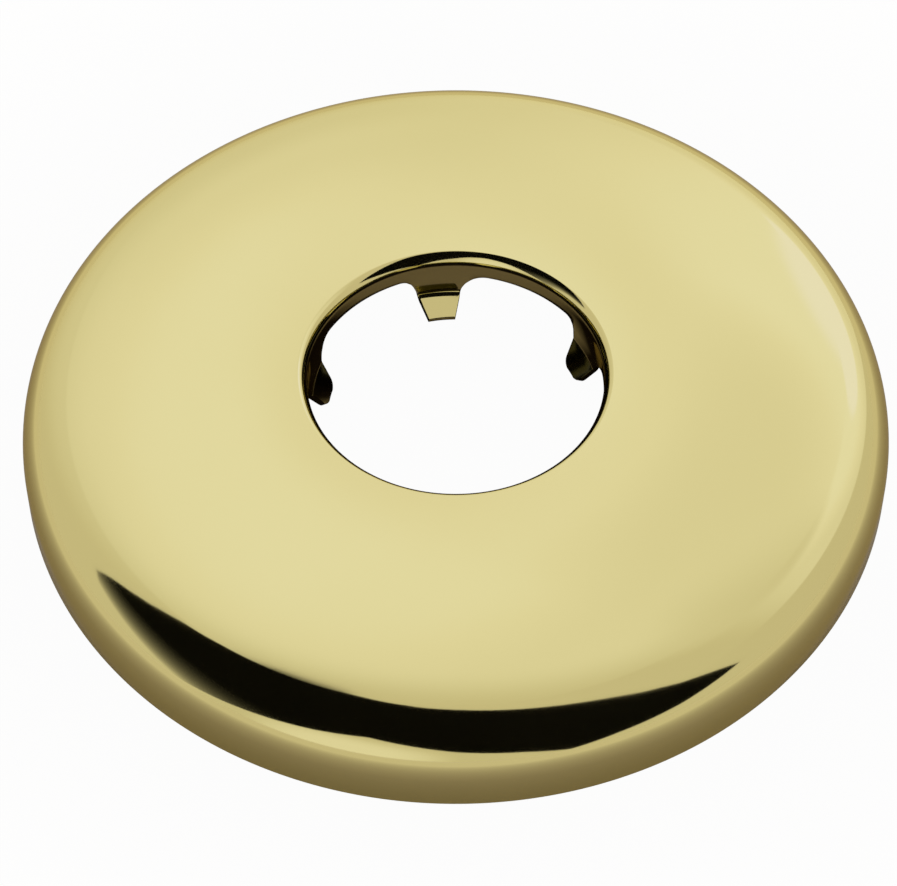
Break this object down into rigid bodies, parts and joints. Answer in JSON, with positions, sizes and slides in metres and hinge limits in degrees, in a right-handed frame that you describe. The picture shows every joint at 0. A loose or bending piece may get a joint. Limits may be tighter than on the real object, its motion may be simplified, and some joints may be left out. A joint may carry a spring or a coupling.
{
  "type": "shower arm flange",
  "caption": "Round domed cover plate of stamped sheet brass, with spring tabs in its centre hole, which slides along a shower arm and hides the hole in the wall.",
  "frame": {"origin": "centre of the foot, in the plane of the wall", "axes": "+Z out of the wall, along the arm; +Y through the middle of one spring tab"},
  "size_m": [0.0698, 0.0698, 0.0089],
  "materials": {
    "brass": "polished"
  },
  "bodies": {
    "root": {"flange": "brass"}
  },
  "joints": []
}
